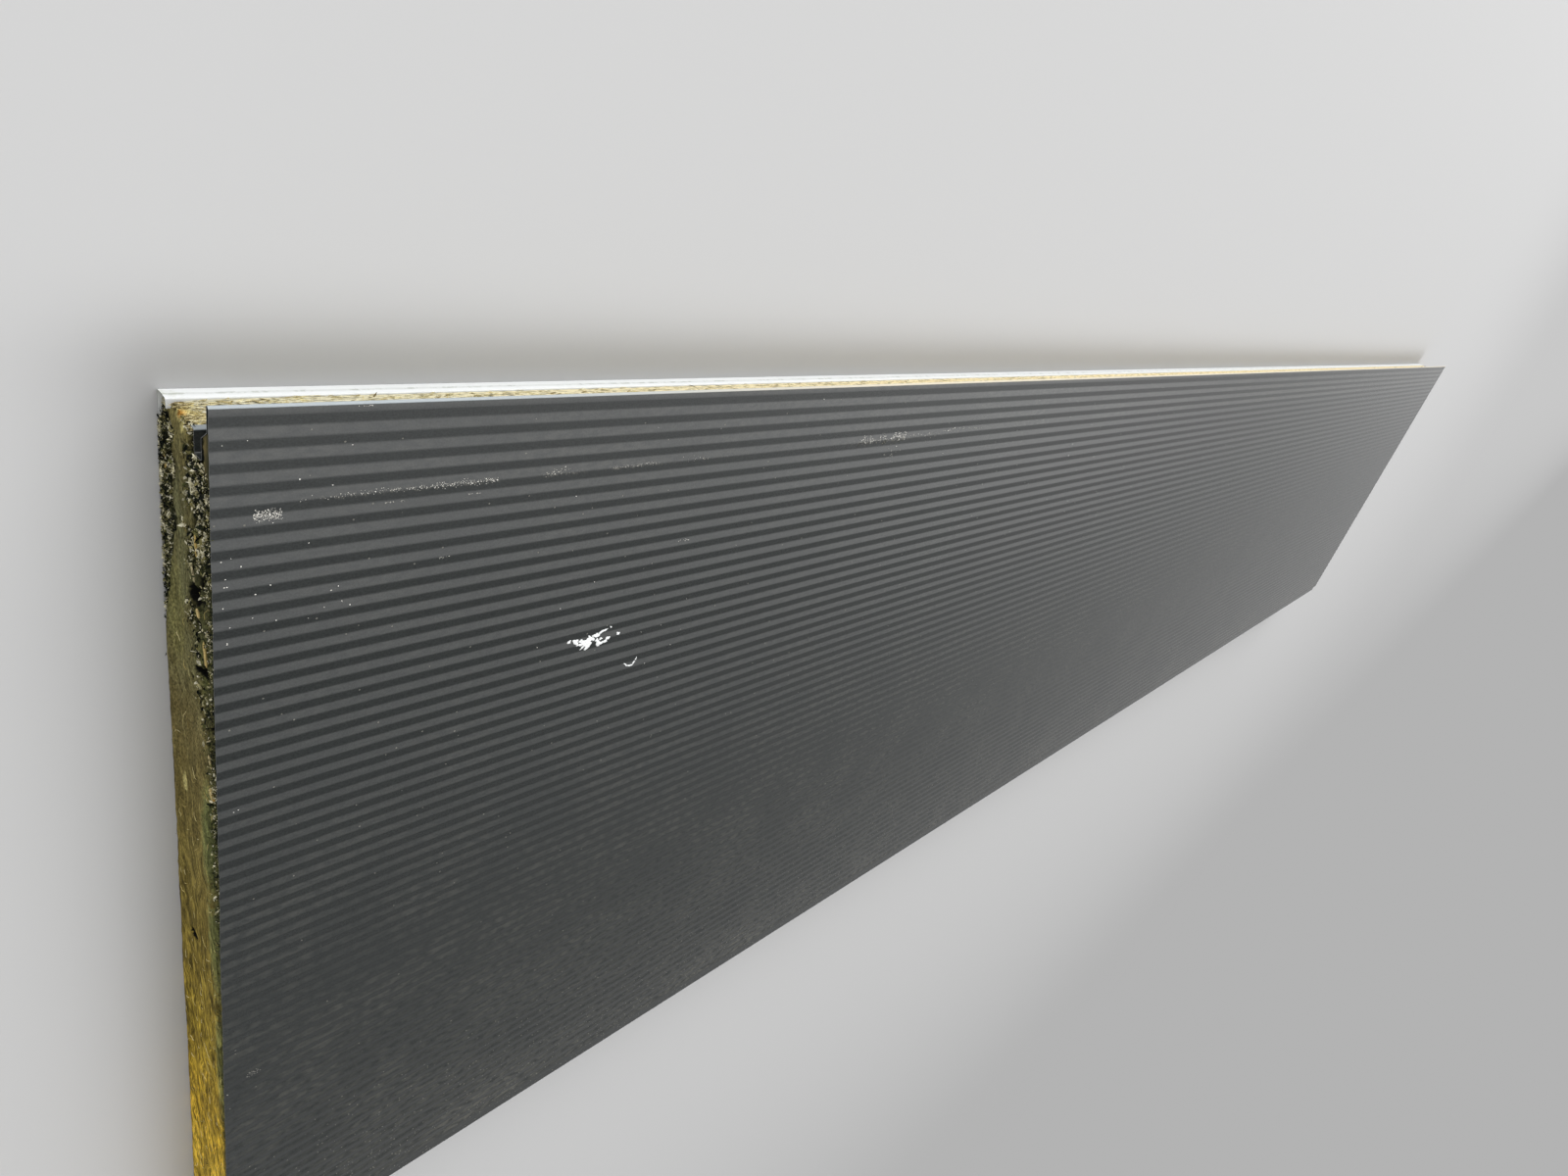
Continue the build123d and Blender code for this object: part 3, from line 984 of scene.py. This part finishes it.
def strip_wear(x, back):
    """How far the bare wool of a long edge lies in from its true plane, and how much of a hole."""
    along = x - cad_low.x
    to_slit = (along - FIRST_LAMELLA + LAMELLA_LENGTH / 2) % LAMELLA_LENGTH - LAMELLA_LENGTH / 2
    slit = 1.0 if abs(to_slit) < SLIT_WIDTH / 2 else 0.0
    torn = math.exp(-along / CORNER_REACH)
    relief = STRIP_RELIEF + STRIP_RELIEF * felt(along, back, STRIP_FELT, (3.3, 8.1))
    return relief + SLIT_DEPTH * slit + CORNER_WEAR * torn, slit


def strip_place(x, back, lift):
    """A place on the bare wool of the groove edge, and lifted off it."""
    depth = strip_wear(x, back)[0]
    share = (STRIP_END - back) / (STRIP_END - STRIP_START)
    return place(x, CORE_STEP + GLUE_GAP + LIP_DROP * share + depth - lift, back)


def wool_section():
    """The corners of the wool's section, just inside the sheets, and which sides are bare."""
    groove = mitred(groove_path(), SHEET_GAUGE + GLUE_GAP)[:6]
    tongue = mitred(tongue_path(), SHEET_GAUGE + GLUE_GAP)[1:]
    inner = mitred(inner_path(), INNER_GAUGE + GLUE_GAP)
    front = RIB_DEPTH + SHEET_GAUGE + GLUE_GAP
    lip_line = STRIP_END - GLUE_GAP
    face = path((groove[-1].x, front), (tongue[0].x, front))
    tongue_strip = path((tongue[-1].x, lip_line), (inner[0].x, lip_line))
    groove_strip = path((inner[-1].x, lip_line), (CORE_STEP + GLUE_GAP, lip_line))
    corners = groove + face + tongue + tongue_strip + inner + groove_strip
    return corners, {len(groove + face + tongue) - 1, len(corners) - 1}


def crossings(corners, back):
    """Where a line across the section, at one depth, goes through its outline."""
    found = []
    for here, after in zip(corners, corners[1:] + corners[:1]):
        if (here.y > back) != (after.y > back):
            found.append(here.x + (after.x - here.x) * (back - here.y) / (after.y - here.y))
    return found


def is_inside(lines, down):
    return all(sum(crossing < down for crossing in line) % 2 for line in lines)


def section_points(corners, step, draw):
    """Points spread over the wool's section, a little way inside its outline."""
    points = []
    lowest = min(corner.x for corner in corners)
    highest = max(corner.x for corner in corners)
    for row in range(int(THICKNESS / step)):
        back = (row + 0.5) * step
        lines = [crossings(corners, back + shift) for shift in (-CAP_MARGIN, 0.0, CAP_MARGIN)]
        for column in range(int((highest - lowest) / step)):
            down = lowest + (column + 0.5 + draw.uniform(-0.3, 0.3)) * step
            if is_inside(lines, down - CAP_MARGIN) and is_inside(lines, down + CAP_MARGIN):
                points.append(Vector((down, back + draw.uniform(-0.3, 0.3) * min(step, CAP_MARGIN))))
    return points


def wool_outline():
    """The section's outline in short steps: each point, if long rings keep it, and if it's bare."""
    corners, bare_sides = wool_section()
    outline = []
    for side, corner in enumerate(corners):
        after = corners[(side + 1) % len(corners)]
        bare = side in bare_sides
        count = math.ceil((after - corner).length / (STRIP_STEP if bare else CAP_EDGE_STEP))
        for part in range(count):
            kept = bare or part % COARSE_EVERY == 0
            outline.append((corner.lerp(after, part / count), kept, bare))
    return outline


def long_rings():
    """Where along the panel the wool has a ring of points between its two ends."""
    spots = []
    along = FIRST_LONG_RING
    for end, step in RING_STEPS:
        while along < end - 2 * RELIEF_REACH:
            spots.append(along)
            along += step
    slit = FIRST_LAMELLA
    while slit < spots[-1]:
        spots = [spot for spot in spots if abs(spot - slit) > 2 * SLIT_WIDTH]
        spots += [slit + SLIT_WIDTH * shift for shift in (-1.2, -0.6, -0.4, 0.4, 0.6, 1.2)]
        slit += LAMELLA_LENGTH
    return [cad_low.x + spot for spot in sorted(spots)]


class WoolMesh:
    """The wool's points and faces, with how mossy, hollow, sawn and tinged each point is."""

    def __init__(self):
        self.vertices = []
        self.marks = {"moss": [], "hollow": [], "sawn": [], "tinge": []}
        self.faces = []

    def side_point(self, x, spot, bare, hollow=0.0, **marks):
        """A point on the wool's long sides, worn where no sheet covers them."""
        down, back = spot
        if bare:
            depth, slit = strip_wear(x, back)
            down += depth if down < FACE_WIDTH / 2 else -depth
            hollow = max(hollow, slit)
        self.vertices.append(place(x, down, back))
        marks["hollow"] = hollow
        for name, values in self.marks.items():
            values.append(marks.get(name, 0.0))
        return len(self.vertices) - 1

    def near_point(self, spot, bare, offset):
        """A point near the sawn end, which shares the end's wear less the further in it lies."""
        down, back = spot
        depth, moss, hollow = end_wear(down, back)
        share = max(0.0, 1 - offset / RELIEF_REACH)
        x = wool_cut(down, back) + offset + depth * share
        sawn = max(0.0, 1 - offset / SAWN_REACH)
        tinge = tinge_at(down, back) * sawn
        marks = {"moss": moss * share * (1 - max(0.0, tinge)), "sawn": sawn, "tinge": tinge}
        return self.side_point(x, spot, bare, hollow * share, **marks)

    def far_point(self, spot, bare, offset):
        """A point near the far end, which the factory cut square."""
        relief = FELT_RELIEF * felt(*spot, END_FELT, (6.4, 4.9))
        depth = (WOOL_SET_BACK + relief) * max(0.0, 1 - offset / RELIEF_REACH)
        sawn = max(0.0, 1 - offset / SAWN_REACH)
        return self.side_point(cad_high.x - offset - depth, spot, bare, sawn=sawn)

    def join(self, ring, after):
        """Bands of faces between two rings, where the second may have fewer points."""
        count = len(ring)
        held = [i for i in range(count) if ring[i] is not None and after[i] is not None]
        for start, end in zip(held, held[1:] + [held[0] + count]):
            span = [i % count for i in range(start, end + 1)]
            first = [ring[i] for i in span if ring[i] is not None]
            second = [after[i] for i in span if after[i] is not None]
            self.faces.append(tuple(first + second[::-1]))

    def close(self, ring, outline, step, draw, make_point):
        """The face of one end, in triangles over a fine spread of points."""
        inner = section_points(wool_section()[0], step, draw)
        flat = [spot for spot, kept, bare in outline] + inner
        spread = delaunay_2d_cdt(flat, [], [list(range(len(outline)))], 1, 1e-9)
        points = list(ring) + [make_point(spot, False, 0.0) for spot in inner]
        owners = [points[source[0]] for source in spread[3]]
        self.faces += [tuple(owners[i] for i in face) for face in spread[2]]


def make_wool():
    """The whole core, weathered at its sawn end and along its two bare edges."""
    draw = random.Random(11)
    outline = wool_outline()
    wool = WoolMesh()
    rings = []
    for offset in END_RINGS:
        rings.append([wool.near_point(spot, bare, offset) for spot, kept, bare in outline])
    for x in long_rings():
        rings.append([wool.side_point(x, spot, bare) if kept else None for spot, kept, bare in outline])
    for offset in reversed(END_RINGS):
        rings.append([wool.far_point(spot, bare, offset) for spot, kept, bare in outline])
    for ring, after in zip(rings, rings[1:]):
        wool.join(ring, after)
    wool.close(rings[0], outline, CAP_STEP, draw, wool.near_point)
    wool.close(rings[-1], outline, FAR_CAP_STEP, draw, wool.far_point)
    piece = make_piece("wool_core", wool.vertices, wool.faces, 60, wool.marks)
    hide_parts("mineral_wool_core")
    piece.data.materials.append(weathered_wool())


class Gathered:
    """Many small closed shapes that make one piece, each with a tone of its own."""

    def __init__(self):
        self.vertices = []
        self.faces = []
        self.tones = []

    def tube(self, rings, start, end, tone):
        """A closed tube through rings of points, drawn to a tip at both ends."""
        count = len(rings[0])
        first = len(self.vertices)
        self.vertices += [start] + [point for ring in rings for point in ring] + [end]
        last = len(self.vertices) - 1
        self.tones += [tone] * (last + 1 - first)
        for i in range(count):
            after = (i + 1) % count
            a = first + 1
            self.faces.append((first, a + after, a + i))
            for ring in rings[1:]:
                self.faces.append((a + i, a + after, a + count + after, a + count + i))
                a += count
            self.faces.append((a + i, a + after, last))

    def leaf(self, middle, along, out, length, width, thickness, curl, tone):
        """A flat pointed leaf that curls out at its tips."""
        side = along.cross(out).normalized()
        rings = []
        for share in (-0.2, 0.22):
            spine = middle + along * (share * length) + out * (curl * length * share * share)
            around = ((side, width), (out, thickness), (-side, width), (-out, thickness))
            rings.append([spine + direction * (size / 2) for direction, size in around])
        lift = out * (curl * length * 0.25)
        tips = [middle + along * (share * length) + lift for share in (-0.5, 0.5)]
        self.tube(rings, *tips, tone)

    def stalk(self, points, radius, sides, tone):
        """A thin round stalk along a line of points."""
        rings = []
        for before, point, after in zip(points, points[1:], points[2:]):
            along = (after - before).normalized()
            side = along.cross(ANY_SIDE).normalized()
            turned = [Matrix.Rotation(math.tau * i / sides, 3, along) @ side for i in range(sides)]
            rings.append([point + direction * radius for direction in turned])
        self.tube(rings, points[0], points[-1], tone)

    def daub(self, x, down, length, width, slant, draw):
        """A flat drop with a ragged rim that lies over the ribs of the face."""
        waves = [(wave, draw.uniform(0, math.tau)) for wave in DAUB_WAVES]
        rings = []
        for share, lift in DAUB_RINGS:
            ring = []
            for i in range(DAUB_SIDES):
                angle = math.tau * i / DAUB_SIDES
                ragged = 1 + sum(DAUB_RAGGED * math.sin(angle * wave + phase) for wave, phase in waves)
                along = math.cos(angle) * length / 2 * share * ragged
                across = math.sin(angle) * width / 2 * share * ragged
                turned_x = x + along * math.cos(slant) - across * math.sin(slant)
                turned_down = down + along * math.sin(slant) + across * math.cos(slant)
                ring.append(on_face(turned_x, turned_down, lift))
            rings.append(ring)
        self.tube(rings, on_face(x, down, DAUB_SUNK), on_face(x, down, 1.1 * DAUB_HEIGHT), 0.5)

    def piece(self, name, slot, material):
        for vertex in self.vertices:
            vertex.x = max(cad_low.x - END_OVERHANG, vertex.x)
            vertex.z = max(cad_low.z + FLOOR_GAP, vertex.z)
        piece = make_piece(name, self.vertices, self.faces, 50, {"tone": self.tones})
        piece.data.materials.append(material)


def on_face(along, down, lift):
    """A place on the ribbed face, by how far it is from the sawn corner, and lifted off it."""
    x = cad_low.x + SAW_STEP + along
    share = ((down - FIRST_CREST) / RIB_PITCH) % 1.0
    back = RIB_DEPTH * (1 - abs(2 * share - 1)) if FIRST_CREST < down < LAST_CREST else 0.0
    return place(x, down, back + face_wave(x, down) - lift)


def on_end(down, back, out):
    """A place on the worn end of the wool, hardly further out than the inner sheet's corner."""
    x = wool_cut(down, back) + end_wear(down, back)[0] - out
    return place(max(cad_low.x - 0.5 * MM, x), down, back)


def drawn_direction(draw, first, second, normal):
    """A random direction, mostly in the plane of two directions."""
    angle = draw.uniform(0, math.tau)
    lean = draw.uniform(-0.5, 0.9)
    return (first * math.cos(angle) + second * math.sin(angle) + normal * lean).normalized()


def make_end_moss():
    """Moss and torn wool in two bands down the sawn end."""
    draw = random.Random(23)
    moss = Gathered()
    outwards = Vector((-1, 0, 0))
    placed = 0
    while placed < MOSS_LEAVES:
        down = 0.03 + 0.65 * draw.random() ** 1.4
        back = draw.uniform(0.002, THICKNESS)
        # None grows on the clean arm inside the nose, in the groove or past the edge
        if (down < GROOVE_DEPTH + 2 * MM and back < GROOVE_BACK + 2 * MM) or down < CORE_STEP + 3 * MM:
            continue
        share = leaves_on_end(down, back)
        bare = hole_at(down, back) > 0.02 or tinge_at(down, back) > 0.7
        if draw.random() > share or bare:
            continue
        placed += 1
        near_sheet = max(smooth(0.018, 0.010, back), smooth(0.074, 0.084, back))
        lengths = LONG_LEAVES if draw.random() < LONG_SHARE else SHORT_LEAVES
        length = draw.uniform(*lengths) * MM
        length *= 1 - 0.4 * near_sheet
        middle = on_end(down, back, draw.uniform(0.1, 2.2) * MM)
        along = drawn_direction(draw, Vector((0, 1, 0)), Vector((0, 0, 1)), outwards)
        out = drawn_direction(draw, along.cross(outwards), outwards, outwards)
        clump = noise.noise((down * 110, back * 130, 2.2))
        pale = 0.3 * smooth(0.05, 0.04, down) * smooth(0.085, 0.09, back)
        dull = 0.1 * near_sheet + 0.12 * smooth(0.16, 0.3, down)
        tone = within(0.5 + pale - dull + 1.1 * clump + draw.gauss(0, 0.38))
        width = length * draw.uniform(0.2, 0.42)
        moss.leaf(middle, along, out, length, width, LEAF_THICKNESS, draw.uniform(0, 0.9), tone)
    moss.piece("end_moss", "wool", tone_material("moss", MOSS_TONES, 0.8))


def make_torn_wool():
    """Pale flakes of torn wool on the bare edge near the sawn end."""
    draw = random.Random(31)
    torn = Gathered()
    for flake in range(TORN_FLAKES):
        along = 0.003 + 1.4 * draw.random() ** 2.2
        covered = 2.5 * MM if along < 0.2 else LIP_WIDTH + 1 * MM
        back = draw.uniform(GROOVE_BACK + covered, STRIP_END - 1.5 * MM)
        if along < 0.009 and abs(back - 0.065) < 0.007:
            continue
        middle = strip_place(cad_low.x + SAW_STEP + along, back, draw.uniform(0.1, 0.6) * MM)
        direction = Vector((1, draw.gauss(0, 0.15), draw.gauss(0, 0.35))).normalized()
        length = draw.uniform(4.0, 11.0) * MM
        near_cut = math.exp(-along / 0.012)
        tone = within(draw.gauss(0.6, 0.28) - 0.55 * near_cut)
        width = length * draw.uniform(0.12, 0.26)
        curl = draw.uniform(-0.2, 0.35)
        torn.leaf(middle, direction, OFF_EDGE, length, width, LEAF_THICKNESS, curl, tone)
    torn.piece("torn_wool", "wool", tone_material("torn_wool", TORN_TONES, 0.9))


def make_straws():
    """The few straws caught in the moss."""
    draw = random.Random(47)
    straws = Gathered()
    for start_down, start_back, end_down, end_back, radius, tone in STRAWS:
        start = Vector((start_down, start_back)) * MM
        end = Vector((end_down, end_back)) * MM
        points = []
        for part in range(STRAW_PARTS + 1):
            spot = start.lerp(end, part / STRAW_PARTS)
            middle = place(wool_cut(*spot) + 0.6 * MM, *spot)
            points.append(middle + Vector((draw.uniform(-0.2, 0.2), 0, draw.uniform(-0.2, 0.2))) * MM)
        straws.stalk(points, radius * MM, 6, tone)
    straws.piece("caught_straws", "wool", tone_material("straw", STRAW_TONES, 0.6))


def wandering(draw, along, back, swings, lengths, limits, lay, lifts):
    """Points of a strand that wanders over the wool, with both its ends held down."""
    swing, turn = swings
    heading = draw.gauss(0.0, swing)
    stride = draw.uniform(*lengths) * MM / STRAND_PARTS
    points = []
    for part in range(STRAND_PARTS + 1):
        lift = lifts[0] + lifts[1] * (part % STRAND_PARTS > 0)
        points.append(lay(along, back, lift * MM))
        heading += draw.gauss(0, turn)
        along += math.cos(heading) * stride
        back = within(back + math.sin(heading) * stride, *limits)
    return points


def make_loose_fibres():
    """Strands that have come loose from the sawn end and the bare edge."""
    draw = random.Random(59)
    fibres = Gathered()
    for strand in range(END_STRANDS):
        down = 0.06 + 1.1 * draw.random() ** 0.7
        back = draw.uniform(0.012, 0.096)
        if down < GROOVE_DEPTH + 25 * MM and back < GROOVE_BACK + 3 * MM:
            continue
        limits = (3 * MM, 98 * MM)
        points = wandering(draw, down, back, (0.5, 0.4), (4, 16), limits, on_end, (0.15, 0.6))
        fibres.stalk(points, draw.uniform(0.12, 0.3) * MM, 3, draw.random())
    for strand in range(STRIP_STRANDS):
        x = cad_low.x + SAW_STEP + 0.002 + 2.2 * draw.random() ** 2
        limits = (STRIP_START, STRIP_END)
        back = draw.uniform(*limits)
        points = wandering(draw, x, back, (0.6, 0.3), (5, 18), limits, strip_place, (0.1, 0.5))
        fibres.stalk(points, draw.uniform(0.1, 0.25) * MM, 3, draw.random())
    fibres.piece("loose_fibres", "wool", tone_material("loose_fibres", FIBRE_TONES, 0.9))


def make_splash():
    """A dried white splash, with its drops and a crescent beside it."""
    draw = random.Random(5)
    splash = Gathered()
    for *place_and_size, slant in SPLASH:
        splash.daub(*[measure * MM for measure in place_and_size], math.radians(slant), draw)
    splash.piece("dried_splash", "white_coating", tone_material("dried_lime", LIME_TONES, 0.8))


def make_crumbs():
    """Dried soil in patches on the face, single crumbs, and scraps on the bare edge."""
    draw = random.Random(71)
    crumbs = Gathered()
    spots = [(*spot, SINGLE_SIZE, SINGLE_TONE) for spot in SINGLE_CRUMBS]
    for start, end, down, spread, count, size, tone in CRUMB_PATCHES:
        for crumb in range(count):
            own_down = down + draw.gauss(0, spread / 2)
            spots.append((draw.uniform(start, end), own_down, size * draw.uniform(0.6, 1.3), tone))
    for along, down, size, tone in spots:
        middle = on_face(along * MM, down * MM, 0.1 * MM)
        angle = draw.gauss(0, 0.7)
        direction = Vector((math.cos(angle), math.sin(angle), 0))
        length = size * draw.uniform(0.9, 2.0) * MM
        width = length * draw.uniform(0.5, 0.9)
        tone = within(tone + draw.gauss(0, 0.12))
        crumbs.leaf(middle, direction, OFF_FACE, length, width, 0.4 * length, 0.0, tone)
    for along, back, length in SCRAPS:
        for scrap in range(SCRAPS_TOGETHER):
            x = min(cad_low.x + (along + draw.uniform(-12, 12)) * MM, cad_high.x - 16 * MM)
            middle = strip_place(x, (back + draw.uniform(-8, 8)) * MM, 0.8 * MM)
            direction = Vector((1, draw.gauss(0, 0.2), draw.gauss(0, 0.6))).normalized()
            size = length * draw.uniform(0.4, 1.0) * MM
            tone = draw.uniform(0, 0.3)
            crumbs.leaf(middle, direction, OFF_EDGE, size, 0.4 * size, 1.2 * MM, 0.2, tone)
    crumbs.piece("dried_soil", "dark_coating", tone_material("dried_soil", SOIL_TONES, 0.9))


make_camera()
make_floor()
make_room()
make_softbox()

common = {"Position": "Vector", "Features": "Float"}
fine_grain = make_group("fine_grain", "Value", grain_value, **common, Stretch="Vector")
settled_dirt = make_group("settled_dirt", "Mask", dirt_mask, **common, Coverage="Float")
specks = make_group("specks", "Mask", specks_mask, **common, Share="Float", Radius="Float")
cut_edge = make_group("cut_edge", "Mask", cut_edge_mask, Position="Vector")

make_outer_sheet()
make_inner_sheet()
make_wool()
make_end_moss()
make_torn_wool()
make_straws()
make_loose_fibres()
make_splash()
make_crumbs()

bpy.context.scene.view_settings.view_transform = "Standard"
